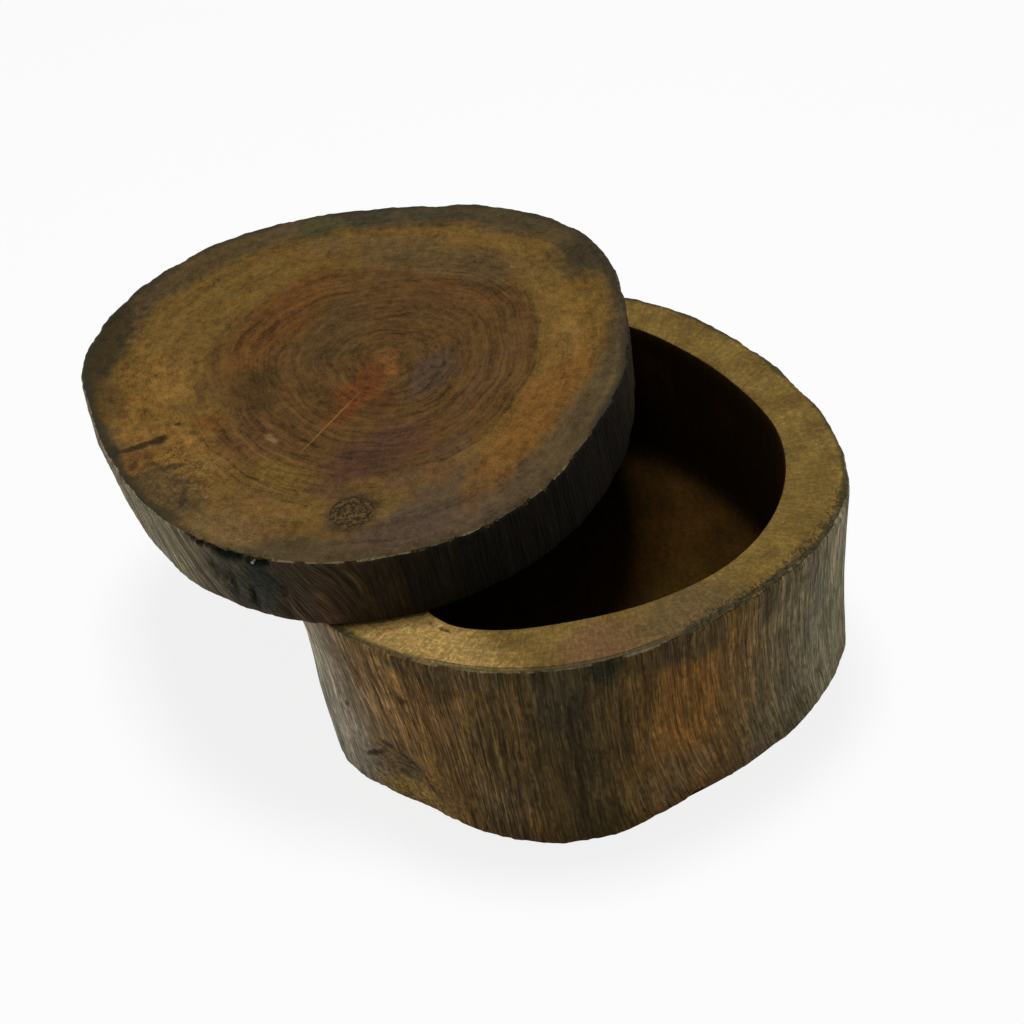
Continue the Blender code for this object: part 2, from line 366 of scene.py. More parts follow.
def measured_outline(tree, centre, height, spokes, from_inside=False):
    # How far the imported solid's wall stands from an axis, in as many directions as there are spokes
    REACH = 0.2
    radii = []
    for spoke in range(spokes):
        turn = math.tau * spoke / spokes
        outward = Vector((math.cos(turn), math.sin(turn), 0.0))
        axis = Vector((*centre, height))
        if from_inside:
            hit = tree.ray_cast(axis, outward)
            radii.append(hit[3])
        else:
            hit = tree.ray_cast(axis + outward * REACH, -outward)
            radii.append(REACH - hit[3])
    return eased(np.array(radii), spokes / 150)


def eased(ring, spread):
    # A closed ring of values, smoothed over that many spokes
    reach = int(spread * 3) + 1
    weights = np.exp(-0.5 * (np.arange(-reach, reach + 1) / spread) ** 2)
    weights /= weights.sum()
    return sum(weight * np.roll(ring, shift) for weight, shift in zip(weights, range(-reach, reach + 1)))


def ring_value(ring, turns):
    place = (turns / math.tau * len(ring)) % len(ring)
    first = place.astype(int) % len(ring)
    share = place - np.floor(place)
    return ring[first] * (1 - share) + ring[(first + 1) % len(ring)] * share


def noise_at(points, seed=0.0):
    return np.array([noise.noise((x + seed, y - seed, z + 2 * seed)) for x, y, z in points])


LOG_RADIUS = 0.076
PITH_TO_BARK = 75.0
GRAIN_LEAN_AT_TOP = 0.04
GRAIN_LEAN_AT_BASE = 0.46
LEANING_TURNS = (0, 60, 140, 252, 275, 300, 340, 360)
LEANING_SHARES = (0.8, 0.3, 0.0, 0.0, 0.30, 0.85, 1.0, 0.8)
TOP_LEAN_TURNS = (0, 150, 170, 185, 205, 215, 360)
TOP_LEAN = (0.05, 0.05, 0.50, 0.75, 0.50, 0.10, 0.05)
SAW_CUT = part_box("box_body")[1][2]
LID_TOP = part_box("lid")[1][2]


def grain_turn(turns, heights):
    # The grain runs down the log upright on one side, and leans more and more the lower it gets on the other
    depth = np.clip(SAW_CUT - heights, -0.03, 0.08)
    degrees = np.degrees(turns) % 360
    below_cut = GRAIN_LEAN_AT_TOP * depth + (GRAIN_LEAN_AT_BASE - GRAIN_LEAN_AT_TOP) * depth ** 2 / 2 / SAW_CUT
    lean = np.where(depth > 0, np.interp(degrees, LEANING_TURNS, LEANING_SHARES) * below_cut,
                    np.interp(degrees, TOP_LEAN_TURNS, TOP_LEAN) * depth)
    return turns - lean / LOG_RADIUS


def fibre_relief(on_side, turns, heights):
    # Ridges and furrows of the stripped side, long along the grain: broad flutes, strands and fine fibres
    relief = np.zeros(len(turns))
    turns, heights = turns[on_side], heights[on_side]
    along = grain_turn(turns, heights)
    round_x, round_y = LOG_RADIUS * np.cos(along), LOG_RADIUS * np.sin(along)
    for width, length, depth, seed in ((0.011, 0.070, 0.00050, 3.1), (0.0042, 0.036, 0.00026, 7.7),
                                       (0.0019, 0.022, 0.00020, 11.3), (0.0010, 0.010, 0.00008, 17.9)):
        points = np.stack([round_x / width, round_y / width, heights / length], axis=1)
        relief[on_side] += depth * noise_at(points, seed)
    return relief


def degrees_from(turns, turn):
    return (np.degrees(turns) - turn + 180) % 360 - 180


def wear_round(spokes, steady, chips):
    # How deep an arris is worn at each spoke: a little everywhere, and more at each chip. A chip has its turn
    # and half width in degrees and its depth in millimetres
    turns = np.linspace(0.0, math.tau, spokes, endpoint=False)
    rim = np.stack([LOG_RADIUS * np.cos(turns), LOG_RADIUS * np.sin(turns), np.zeros(spokes)], axis=1)
    broad, fine = noise_at(rim / 0.006, steady * 1e5), noise_at(rim / 0.0017, steady * 2e5)
    wear = steady * (1.0 + 0.9 * broad + 0.7 * fine)
    for turn, half_width, depth in chips:
        away = degrees_from(turns, turn) / half_width
        wear += depth / 1000 * np.clip(1.0 - away ** 2, 0.0, 1.0) * (1.0 + 0.5 * fine)
    return np.clip(wear, 0.00005, None)


def worn_corner(from_side, from_cut, wear):
    # How far the side is drawn in and the sawn face let down at a worn arris, by the distance from both
    reach = 0.0008 + 1.6 * wear
    nearness = np.clip(1.0 - (from_side + from_cut) / reach, 0.0, 1.0) ** 1.5
    return wear * nearness * (from_side < ARRIS / 2), 0.7 * wear * nearness * (from_cut < ARRIS / 2)


def worn_ends(turns, heights, from_side, top, bottom, spokes, top_wear, foot_wear):
    # How far the side is drawn in and the sawn top let down, by the steady wear and the chips at each end
    at_top, at_foot = (ring_value(wear_round(spokes, *wear), turns) for wear in (top_wear, foot_wear))
    drawn_in, let_down = worn_corner(from_side, top - heights, at_top)
    return drawn_in + worn_corner(from_side, heights - bottom, at_foot)[0], let_down


def pushed_in(turns, heights, dents):
    # Hollows in the side, each with its turn, its height, half width, half height and depth in millimetres
    pushed = np.zeros(len(turns))
    for turn, height, across, up, depth in dents:
        sideways = np.radians(degrees_from(turns, turn)) * LOG_RADIUS / (across / 1000)
        upwards = (heights - height / 1000) / (up / 1000)
        pushed += depth / 1000 * np.clip(1.0 - sideways ** 2 - upwards ** 2, 0.0, 1.0) ** 1.5
    return pushed


def middle_of(box):
    return ((box[0][0] + box[1][0]) / 2, (box[0][1] + box[1][1]) / 2)


def bored(piece, diameter, bottom, top, centre):
    # An upright hole, drilled with a cutter that is then taken away
    deselect_all()
    bpy.ops.mesh.primitive_cylinder_add(vertices=96, radius=diameter / 2, depth=top - bottom,
                                        location=(*centre, (top + bottom) / 2))
    cutter = bpy.context.object
    drilling = piece.modifiers.new("drilling", "BOOLEAN")
    drilling.operation = "DIFFERENCE"
    drilling.object = cutter
    drilling.solver = "MANIFOLD"
    bpy.context.view_layer.objects.active = piece
    bpy.ops.object.modifier_apply(modifier="drilling")
    bpy.data.objects.remove(cutter)


def save_attribute(thing, name, values):
    kind = "FLOAT" if values.ndim == 1 else "FLOAT_VECTOR"
    attribute = thing.data.attributes.new(name, kind, "POINT")
    attribute.data.foreach_set("value" if values.ndim == 1 else "vector", values.astype(np.float32).ravel())


def growth_ring(outline):
    # The log's outline measured again from the pith, for the share of the way from pith to bark
    turns = np.linspace(0.0, math.tau, len(outline), endpoint=False)
    across, back = outline * np.cos(turns) - PITH_IN_LOG[0], outline * np.sin(turns) - PITH_IN_LOG[1]
    from_pith, reach = np.arctan2(back, across) % math.tau, np.hypot(across, back)
    order = np.argsort(from_pith)
    return np.interp(turns, from_pith[order], reach[order], period=math.tau)


def mark_wood(thing, in_log, rings_at_heights):
    # Each point keeps its place in the log, its share of the way from pith to bark and its place on the grain
    x, y, z = in_log.T
    across, back = x - PITH_IN_LOG[0], y - PITH_IN_LOG[1]
    from_pith = np.arctan2(back, across)
    (low, low_ring), (high, high_ring) = rings_at_heights
    share = np.clip((z - low) / (high - low), 0.0, 1.0)
    bark = ring_value(low_ring, from_pith) * (1 - share) + ring_value(high_ring, from_pith) * share
    along = grain_turn(np.arctan2(y, x), z)
    grain = np.stack([LOG_RADIUS * np.cos(along), LOG_RADIUS * np.sin(along), z], axis=1)
    save_attribute(thing, "in_log", in_log)
    save_attribute(thing, "growth", np.hypot(across, back) / bark)
    save_attribute(thing, "grain", grain)


def face_rounds(thing, centre, bore_at):
    # Each face's turn, radius and height about the piece's axis, and how far it is from its bore's axis
    x, y, heights = vectors_of(thing.data.polygons, "center").T
    across, back = x - centre[0], y - centre[1]
    return np.arctan2(back, across), np.hypot(across, back), heights, np.hypot(x - bore_at[0], y - bore_at[1])


def give_finishes(thing, finishes, zones):
    # Each face takes the finish of its zone, and only the edges of bored holes stay sharp
    thing.data.materials.clear()
    for finish in finishes:
        thing.data.materials.append(finish)
    thing.data.polygons.foreach_set("material_index", zones.astype(np.int32))
    deselect_all()
    thing.select_set(True)
    bpy.context.view_layer.objects.active = thing
    bpy.ops.object.shade_smooth_by_angle(angle=math.radians(62))


body_tree = solid_tree("box_body")
hollow_floor = body_tree.ray_cast(Vector((0.0, 0.0, 0.2)), Vector((0.0, 0.0, -1.0)))[0].z
CLEAR_OF_ARRIS = 0.004
LOW_CUT, HIGH_CUT = CLEAR_OF_ARRIS, SAW_CUT - CLEAR_OF_ARRIS
outline_low = measured_outline(body_tree, (0.0, 0.0), LOW_CUT, BODY_SPOKES)
outline_high = measured_outline(body_tree, (0.0, 0.0), HIGH_CUT, BODY_SPOKES)
hollow_outline = measured_outline(body_tree, (0.0, 0.0), HIGH_CUT - 0.02, BODY_SPOKES, from_inside=True)
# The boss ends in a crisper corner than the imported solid's
CORNER_TURN, CORNER_WIDTH, CORNER_DEPTH = 233.0, 3.2, 0.0013
spoke_degrees = np.arange(BODY_SPOKES) * 360 / BODY_SPOKES
hollow_outline = hollow_outline + CORNER_DEPTH * np.exp(-((spoke_degrees - CORNER_TURN) / CORNER_WIDTH) ** 2)

ARRIS = 0.0008
CLOSE_RINGS = (ARRIS, 0.0014, 0.0021, 0.0029)
RIM_CHIPS = (
    (231, 2, 0.6), (244, 1.5, 0.4), (262, 5, 0.3), (275, 3, 0.8), (288, 4, 0.5), (300, 5, 0.7), (309, 3, 0.9),
    (319, 5, 0.6), (336, 6, 0.3), (14, 6, 0.5), (33, 3, 0.6), (70, 5, 0.5),
)
BASE_CHIPS = (
    (214, 3, 0.7), (237, 5, 0.5), (296, 3, 0.5), (318, 4, 0.6), (40, 6, 0.7), (120, 8, 0.6),
)
SIDE_DENTS = (
    (227, 20, 6, 8, 0.8), (226, 27.5, 2.4, 1.4, 0.9), (219, 16, 1.6, 2.2, 0.9), (230, 19, 1.2, 4, 0.7),
    (196, 52, 30, 28, 1.4), (100, 40, 6, 8, 0.9), (99, 42, 1.6, 3, 1.2),
)
body_profile = [
    *at_height(0.0, (0.0, 0.006, 0.014, 0.022, 0.030, 0.038, 0.046, 0.052, 0.058, 0.063, 0.066, 0.068)),
    *foot_corner(0.0),
    *at_radius(BLANK_WALL, steps(ARRIS, HIGH_CUT, 36) + steps(HIGH_CUT, SAW_CUT - ARRIS, 5)),
    *top_corner(SAW_CUT),
    *at_height(SAW_CUT, steps(BLANK_WALL - CLOSE_RINGS[-1], BLANK_HOLLOW + ARRIS, 11)),
    (BLANK_HOLLOW + ARRIS * 0.3, SAW_CUT - ARRIS * 0.3), (BLANK_HOLLOW, SAW_CUT - ARRIS),
    *at_radius(BLANK_HOLLOW, steps(SAW_CUT - ARRIS, hollow_floor + 0.004, 12)),
    (BLANK_HOLLOW - 0.0006, hollow_floor + 0.0022), (BLANK_HOLLOW - 0.0018, hollow_floor + 0.0008),
    *at_height(hollow_floor, (BLANK_HOLLOW - 0.004, 0.044, 0.036, 0.028, 0.020, 0.012, 0.005, 0.0)),
]
body = turned_blank("log_body", body_profile, BODY_SPOKES, (0.0, 0.0))
turns, blank_radii, heights, wall = rounds_of(body, (0.0, 0.0), LOW_CUT, outline_low, HIGH_CUT, outline_high)
hollow = ring_value(hollow_outline, turns)
outside = np.clip((blank_radii - BLANK_HOLLOW) / (BLANK_WALL - BLANK_HOLLOW), 0.0, None)
radii = np.where(outside > 0, hollow + (wall - hollow) * outside, hollow * blank_radii / BLANK_HOLLOW)
on_side = blank_radii > BLANK_WALL - 1.5 * ARRIS
from_side = np.clip(wall - radii, 0.0, None)
radii += fibre_relief(on_side, turns, heights)
# The rim's arris is worn and split, the base's only rubbed, and a dead knot is sunk into the side low down
drawn_in, let_down = worn_ends(turns, heights, from_side, SAW_CUT, 0.0, BODY_SPOKES,
                               (0.00035, RIM_CHIPS), (0.00025, BASE_CHIPS))
radii -= drawn_in
heights = heights - let_down
radii -= on_side * pushed_in(turns, heights, SIDE_DENTS)
move_to(body, np.stack([radii * np.cos(turns), radii * np.sin(turns), heights], axis=1))
PILOT_HOLE = 0.0048
pivot_at = middle_of(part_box("pivot_screw"))
bored(body, PILOT_HOLE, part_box("pivot_screw")[0][2] - 0.001, SAW_CUT + 0.010, pivot_at)
mark_wood(body, positions_of(body), ((0.0, growth_ring(outline_low)), (SAW_CUT, growth_ring(outline_high))))


# Half the depth of a patch on a saw cut, so large that only its place on the cut counts
DEEP = 400


def wood(name, gloss):
    # A new finish, and the wood's own coordinates in millimetres
    material, wires = new_finish(name)
    wires.tree.nodes["Principled BSDF"].inputs["Specular IOR Level"].default_value = gloss
    in_log, grain = (wires.add("Attribute", {"attribute_name": name}, {}, output=1).brightened(1000)
                     for name in ("in_log", "grain"))
    growth = wires.add("Attribute", {"attribute_name": "growth"}, {}, output=2)
    return material, in_log, grain, growth


def finished(material, colour, roughness, height, distance, strength):
    # The finish with its colour, its roughness and its fine relief in its shader
    tree = material.node_tree
    shader = tree.nodes["Principled BSDF"]
    tree.links.new(colour.socket, shader.inputs["Base Color"])
    tree.links.new(roughness.socket, shader.inputs["Roughness"])
    bump = colour.add("Bump", {}, {"Strength": strength, "Distance": distance, "Height": height})
    tree.links.new(bump.socket, shader.inputs["Normal"])
    return material


def stained(colour, place, patches, blotch=0, torn=1):
    # A stain with patches laid over it, each with its centre, half sizes, turn, colour and strength
    for centre, size, turn, tint, amount, *lean in patches:
        mask = place.patch(centre, size, math.radians(turn), math.radians(*lean or [0]))
        colour = colour.blended(tint, ((mask + blotch) * torn).between(0.12, 0.62) * amount)
    return colour


def plain_colour(wire, tint):
    # One colour, as it is seen on a screen, as the start of a mix
    return wire.add("Mix", {"data_type": "RGBA"}, {"Factor": 0, 6: seen(*tint), 7: seen(*tint)}, output=2)


def swings(*noises):
    # Noises about their middle value, each times its strength, added up
    return sum((one - 0.5) * strength for one, strength in noises)


def on_the_side(rows):
    # Patches on the log's side: the turn and height of the middle, the half sizes in millimetres and the rest
    radius = LOG_RADIUS * 1000
    return [((radius * math.cos(math.radians(turn)), radius * math.sin(math.radians(turn)), height),
             (24, across, up), turn, *rest) for turn, height, across, up, *rest in rows]


def on_the_cut(rows):
    # Patches on a saw cut: the middle and the half sizes in millimetres, and the rest
    return [((x, y, 0), (across, back, DEEP), *rest) for x, y, across, back, *rest in rows]


def weathered_side(name, round_the_log, patches, marks, crumbled, streaked):
    # Stripped sapwood: pale hairs and dark furrows, long along the grain, over a colour that varies round the
    # log.
    # On the lid's side that colour and the marks also hold painted shade, over the hollow and in the split
    material, in_log, grain, _ = wood(name, 0.08)
    hair = grain.nudged(0.5, 11, 1)
    fine = hair.noise((0.42, 0.42, 11), 1)
    strands = hair.noise((0.95, 0.95, 26), 3, 0.6)
    flutes = hair.noise((3.4, 3.4, 30))
    broken = hair.noise((1.3, 1.3, 3.2), 3, 0.6, (1, 6, 2))
    pale = hair.noise((1.5, 1.5, 40), 1, place=(3, 5, 1)).threads(0.045)
    paler = hair.noise((2.6, 2.6, 70), 1, place=(7, 5, 1)).threads(0.045)
    hairs = pale.most(paler) * broken.between(0.34, 0.52)
    dark = hair.noise((2.2, 2.2, 34), place=(8, 1, 4)).threads(0.04)
    cloud = in_log.noise((13, 13, 18), 3, 0.6)
    grit = in_log.noise(1.5, 4, 0.7)
    crumbling = in_log.nudged(4, 7)
    crumbs = sum(crumbling.patch(centre, size, math.radians(turn)).between(0.05, 0.45) * share
                 for centre, size, turn, share in on_the_side(crumbled))
    drift = grain.noise((3, 3, 20), place=(9, 4, 2), coloured=True)
    blotch = (in_log.noise(4, 3, 0.6) - 0.5) * 0.5
    stops = [(turn / 360, seen(*tint)) for turn, tint in round_the_log]
    stain = in_log.add("ValToRGB", {"stops": stops}, {"Fac": in_log.nudged(4, 10).turn() * (1 / 360)})
    stain = stained(stain, in_log.nudged(5, 12), on_the_side(patches), blotch)
    # The front of the log is rougher, with dark and reddish streaks among each other
    rough = in_log.sector(212, 262, 12) * streaked
    streaks = grain.noise((4.2, 4.2, 12), 3, 0.6, (5, 2, 9))
    stain = stain.blended((72, 60, 36), streaks.between(0.50, 0.64) * rough * 0.45)
    stain = stain.blended((124, 92, 56), streaks.between(0.46, 0.34) * rough * 0.3)
    stain = stain.drifted(drift, (0.11, 0.07, 0.15))
    stain = stained(stain, in_log.nudged(1.2, 2), on_the_side(marks), blotch * 0.6, 1 + (grit - 0.5) * 2.4)
    tone = (swings((fine, 1.7), (strands, 2.1), (flutes, 1.2), (cloud, 0.9), (broken, 1.2))
            + hairs * 0.45 - dark * 0.26 - 0.05)
    tone = tone * (1 + rough * 0.25) * (1 - crumbs * 0.75) + (grit - 0.5) * crumbs * 4.2
    # Pale fibres stand out from the ground a little more than the dark furrows sink into it
    colour = stain.brightened((0.97 + tone + tone * tone * 0.4).most(0.33))
    relief = strands * 0.8 + fine * 0.4 + hairs * 0.22 - dark * 0.20
    relief = relief * (1 - crumbs * 0.7) + grit * crumbs * 1.4
    return finished(material, colour, 0.85 - tone * 0.08, relief, 0.0012, 0.9)


def arc_noise(flat, growth, around, width, detail=2, roughness=0.5):
    # A noise drawn out along the growth rings: how busy it is round the pith, and its width across the rings
    from_pith = flat.vector("SUBTRACT", flat, (PITH_IN_LOG[0] * 1000, PITH_IN_LOG[1] * 1000, 0))
    outward = flat.add("CombineXYZ", {}, {2: growth * (PITH_TO_BARK / width)})
    place = flat.vector("MULTIPLY_ADD", flat.vector("NORMALIZE", from_pith), (around, around, 0), outward)
    return place.noise(1, detail, roughness)


def sawn_rim(name, light, dark, patches, marks):
    # The rim's saw cut: speckled pores, faint arcs along the growth rings and a narrow band of old skin
    material, in_log, _, growth = wood(name, 0.10)
    flat = in_log.stretched((1, 1, 0))
    arcs = arc_noise(flat, growth, 14, 1, 3, 0.6)
    rings = arc_noise(flat, growth, 5, 2.6).threads(0.06)
    rays = arc_noise(flat, growth, 80, 4, 2, 0.6)
    pores = flat.noise(0.55, 2, 0.7)
    grit = flat.noise(1.3, 2, 0.6)
    cloud = flat.noise((9, 9, 9), 3, 0.6, (3.44, 0.89, 0))
    blotch = (flat.noise(3, 4, 0.6) - 0.5) * 0.5
    stain = plain_colour(flat, dark).blended(light, cloud.between(0.35, 0.65))
    stain = stained(stain, flat.nudged(3, 8), on_the_cut(patches), blotch)
    stain = stain.drifted(flat.noise(5, 3, coloured=True), (0.10, 0.06, 0.18))
    stain = stained(stain, flat.nudged(0.5, 2), on_the_cut(marks), blotch * 0.5)
    tone = swings((arcs, 0.7), (rays, 1.4), (pores, 1.6), (grit, 1.5), (cloud, 0.6)) - rings * 0.10
    tone = tone * (0.78 + in_log.sector(205, 262, 12) * 0.34)
    tone = tone + tone * tone * 0.7 - 0.03
    # Millimetres from the side, wandering by half of one
    front = in_log.sector(236, 291, 6)
    from_side = (1 - growth) * PITH_TO_BARK + (flat.noise(1.8, 4, 0.65) - 0.5) * (2.6 - front * 1.7)
    torn = in_log.sector(288, 345, 8)
    skin = (from_side - ((flat.noise(16) - 0.5) * 3 + 1.3 + torn * 0.9)).between(0.9, -0.5)
    crack = flat.noise((2.4, 2.4, 1), 3, place=(4, 9, 0)).threads(0.035)
    crack = crack * from_side.between(6, 3) * torn
    # Over the front, the pale line at the very arris is a painted highlight.
    for tint, amount in (((52, 49, 33), skin * (1 - front) * 0.85),
                         ((66, 62, 43), from_side.between(1.6, 1) * front * 0.8),
                         ((44, 38, 24), (from_side - 1.7).absolute().between(0.45, 0.1) * front * 0.75),
                         ((112, 108, 86), from_side.between(0.45, 0.2) * front * 0.5),
                         ((34, 30, 20), crack * 0.75)):
        stain = stain.blended(tint, amount)
    colour = stain.brightened((1.04 + tone).most(0.2))
    relief = pores * 0.6 + arcs * 0.6 + grit - crack
    return finished(material, colour, 0.70 + pores * 0.15, relief, 0.0004, 0.8)


def end_grain(name, gloss, outer, sapwood, heartwood, patches, marks, saw_marks):
    # A cross cut of the log: ringed heartwood, sapwood and a weathered band, oiled or left from the saw
    material, in_log, _, growth = wood(name, gloss)
    flat = in_log.stretched((1, 1, 0))
    ragged = flat.noise(3.5, 4, 0.6)
    blotch = (ragged - 0.5) * 0.55
    wandering = growth + (flat.noise(12) - 0.5) * 0.05
    arcs = arc_noise(flat, wandering, 4, 1.5, 2, 0.6)
    long_arcs = arc_noise(flat, wandering, 1.5, 1.3, 1)
    broad_arcs = arc_noise(flat, wandering, 1.8, 5)
    dark_rings = arc_noise(flat, wandering, 1.1, 2.6, 0).threads(0.05)
    pale_rings = arc_noise(flat, wandering, 1.3, 1.825, 0).threads(0.045)
    fibres = arc_noise(flat, wandering, 28, 0.6)
    pores = flat.noise(0.55, 2, 0.7)
    mottle = flat.noise(2.4, 4, 0.65)
    cloud = flat.noise((9, 9, 9), 3, 0.6, (4.44, 1.22, 0))
    kerfs = flat.stretched((1 / 0.9, 1 / 70, 0), turn=0.6).noise()
    in_heart = wandering.between(0.63, 0.56)
    stain = plain_colour(in_log, sapwood).blended(heartwood, in_heart)
    stain = stain.blended(outer, (wandering + (ragged - 0.5) * 0.10).between(0.82, 0.93))
    stain = stained(stain, flat.nudged(3, 8), on_the_cut(patches), blotch)
    stain = stain.drifted(flat.noise(7, 4, 0.6, coloured=True), (0.10, 0.06, 0.16))
    stain = stained(stain, flat.nudged(0.9, 2.5), on_the_cut(marks), blotch * 0.5)
    # Where the rings crowd together, and where the wood is golden and mottled
    bundle = flat.patch((-47, 4, 0), (15, 34, DEEP), math.radians(-14)).between(0, 0.6)
    golden = flat.patch((-46, 34, 0), (26, 46, DEEP), math.radians(-38)).between(0, 0.5)
    ringed = in_heart * 0.75 + 0.25
    tone = (swings((broad_arcs, 0.7), (arcs, 0.4 + in_heart * 0.2), (fibres, 0.5), (pores, 1.6),
                   (long_arcs, 0.3 + in_heart * 0.9 + bundle * 0.7), (mottle, 1.7 + golden * 0.2), (cloud, 0.9),
                   (kerfs, saw_marks))
            - dark_rings * (ringed * 0.20 + bundle * 0.22) + pale_rings * ringed * 0.15)
    # The sharp dark line that closes the heartwood on one side
    line = (wandering - 0.595).absolute().between(0.014, 0.003) * flat.part("Y").between(-24, -33)
    colour = stain.brightened((1 + tone - line * 0.30).most(0.25))
    return material, in_log, growth, colour, (0.60 + pores * 0.2, pores * 0.5 + fibres * 0.6 + arcs * 0.4)


def sawn_end(name, outer, sapwood, heartwood):
    # A cross cut left from the saw, with its kerf marks
    material, _, _, colour, (roughness, height) = end_grain(
        name, 0.08, outer, sapwood, heartwood, [], [], 1.3)
    return finished(material, colour, roughness + 0.15, height, 0.0004, 0.8)


def dark_hollow(name, patches):
    # The hollow, routed out and stained nearly black, with the grain of the wood showing through faintly
    material, in_log, _, _ = wood(name, 0.05)
    fibres = in_log.noise((0.8, 0.8, 12), 3, 0.6)
    cloud = in_log.noise(12, 3)
    mottle = in_log.noise(1.5, 3, 0.65)
    blotch = (in_log.noise(4, 4, 0.6) - 0.5) * 0.6
    figure = in_log.nudged(2.5, 14).stretched((1 / 2, 1 / 9, 0), turn=0.5).noise()
    on_wall = in_log.part("Z").between(25.6, 27.5)
    stain = plain_colour(in_log, (44, 27, 2)).blended((40, 25, 4), on_wall)
    stain = stain.blended((52, 28, 12), cloud.between(0.55, 0.7) * 0.6)
    stain = stained(stain, in_log.nudged(3, 9), patches, blotch)
    colour = stain.brightened(1 + swings((fibres, 0.9), (cloud, 0.8), (mottle, 1.2), (figure, 0.8)))
    return finished(material, colour, 0.85 - fibres * 0.1, fibres + mottle, 0.0003, 0.6)


# The colour round the log's side, by degrees from +X. It is palest and greyest at about 200 and 336 degrees,
# near the left and right edges as seen from the front
side_colours = [(0, (108, 98, 74)), (20, (104, 88, 62)), (60, (96, 80, 52)), (120, (106, 90, 62)),
               (165, (126, 114, 92)), (200, (156, 149, 132)), (212, (140, 128, 107)), (221, (109, 87, 58)),
               (231, (124, 92, 50)), (239, (106, 78, 41)), (246, (88, 68, 35)), (260, (82, 64, 33)),
               (269, (69, 56, 30)), (277, (84, 64, 31)), (286, (104, 75, 35)), (293, (117, 80, 33)),
               (303, (107, 80, 42)), (312, (103, 87, 57)), (325, (104, 94, 71)), (336, (124, 116, 90)),
               (360, (108, 98, 74))]
side_patches = [
    (265, 64, 11, 26, (58, 51, 34), 0.7), (292, 12, 26, 22, (98, 78, 50), 0.8),
    (293, 72, 18, 15, (82, 65, 40), 0.8), (291, 42, 17, 26, (120, 83, 36), 0.7),
    (250, 14, 12, 22, (86, 72, 50), 0.6), (240, 44, 9, 30, (100, 74, 44), 0.5),
    (226, 5, 24, 13, (158, 127, 72), 0.95), (327, 50, 6, 30, (100, 98, 80), 0.4),
    (312, 6, 8, 8, (108, 84, 68), 0.5), (311, 70, 5, 10, (56, 46, 31), 0.7),
    (242, 73, 28, 9, (66, 55, 35), 0.6), (286, 71, 14, 9, (62, 49, 29), 0.5),
    (236, 10, 8, 10, (110, 84, 50), 0.5), (308, 34, 6, 18, (114, 88, 52), 0.6),
    (334, 14, 10, 16, (100, 88, 66), 0.6), (324, 9, 8, 10, (88, 74, 50), 0.6),
]
side_marks = [
    (273.8, 76, 8, 14, (30, 34, 22), 0.8),
    # The dead knot near the base, under its arch of torn fibres
    (226, 19, 7, 10, (86, 76, 56), 0.8, 10), (216.5, 19, 1.6, 9, (40, 31, 18), 0.85, -50),
    (222, 27, 3.4, 2.4, (38, 33, 20), 0.85), (226.5, 22, 1.7, 8, (44, 40, 27), 0.75, 40),
    (231, 14, 1.3, 7, (46, 36, 22), 0.7, 30), (224, 15, 2.4, 3.6, (56, 50, 36), 0.6, 20),
    (231.5, 55.5, 2.2, 3.6, (72, 38, 18), 0.8), (219.6, 64, 1, 1.8, (38, 30, 22), 0.8),
    (213, 37.5, 0.9, 2.4, (52, 46, 36), 0.8), (255.5, 10, 3, 12, (112, 80, 40), 0.4, 12),
    (100, 40, 9, 13, (70, 54, 34), 0.85),
]
side_crumbs = [(225, 12, 26, 20, 0.9), (222, 24, 9, 12, 0.3)]
side_finish = weathered_side("weathered_side", side_colours, side_patches, side_marks, side_crumbs, 1.0)
rim_patches = [
    (-38, -62, 38, 15, -40, (158, 128, 72), 0.95), (6, -70, 18, 13, 0, (108, 79, 50), 0.9),
    (28, -62, 22, 14, 20, (95, 76, 46), 0.9), (63, -28, 16, 26, -30, (108, 86, 40), 0.7),
    (-8, -54, 15, 4.5, 0, (98, 74, 42), 0.6),
]
# A splinter torn up at the corner of the boss
rim_marks = [
    (-33.2, -57, 3.4, 0.9, -38, (58, 42, 23), 0.85), (-36.6, -53.8, 2.6, 0.8, -58, (84, 62, 34), 0.7),
    (-35.2, -55, 1.8, 1.1, -45, (164, 130, 82), 0.6),
]
rim_finish = sawn_rim("sawn_rim", (118, 95, 45), (103, 81, 38), rim_patches, rim_marks)
hollow_patches = [((30, 20, 26), (20, 16, 20), 30, (54, 33, 6), 0.6),
                  ((34, -6, 26), (16, 24, 10), -20, (54, 38, 6), 0.8),
                  ((18, 40, 60), (30, 26, 26), 0, (86, 44, 22), 0.7)]
hollow_finish = dark_hollow("stained_hollow", hollow_patches)
base_finish = sawn_end("sawn_base", (92, 78, 54), (124, 98, 58), (98, 70, 40))


# How near the middle of a face is to the saw cut or the bore that it belongs to, and how far under the rim or
# the lid's top a face inside the arris still counts as sawn
NEAR_CUT, NEAR_BORE = 0.0003, 0.00002
RIM_WORN_TO, TOP_WORN_TO = 0.0012, 0.0018
turns, radii, heights, from_bore = face_rounds(body, (0.0, 0.0), pivot_at)
in_bore = from_bore < PILOT_HOLE / 2 + NEAR_BORE
in_hollow = (radii < ring_value(hollow_outline, turns) + 0.0002) & (heights > hollow_floor / 2)
inside_arris = radii < ring_value(outline_high, turns) - ARRIS
on_rim = (heights > SAW_CUT - NEAR_CUT) | (heights > SAW_CUT - RIM_WORN_TO) & inside_arris
zones = np.select([in_bore, in_hollow, on_rim, heights < NEAR_CUT], [3, 2, 1, 3], 0)
give_finishes(body, (side_finish, rim_finish, hollow_finish, base_finish), zones)
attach(body, "base")
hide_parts("box_body")
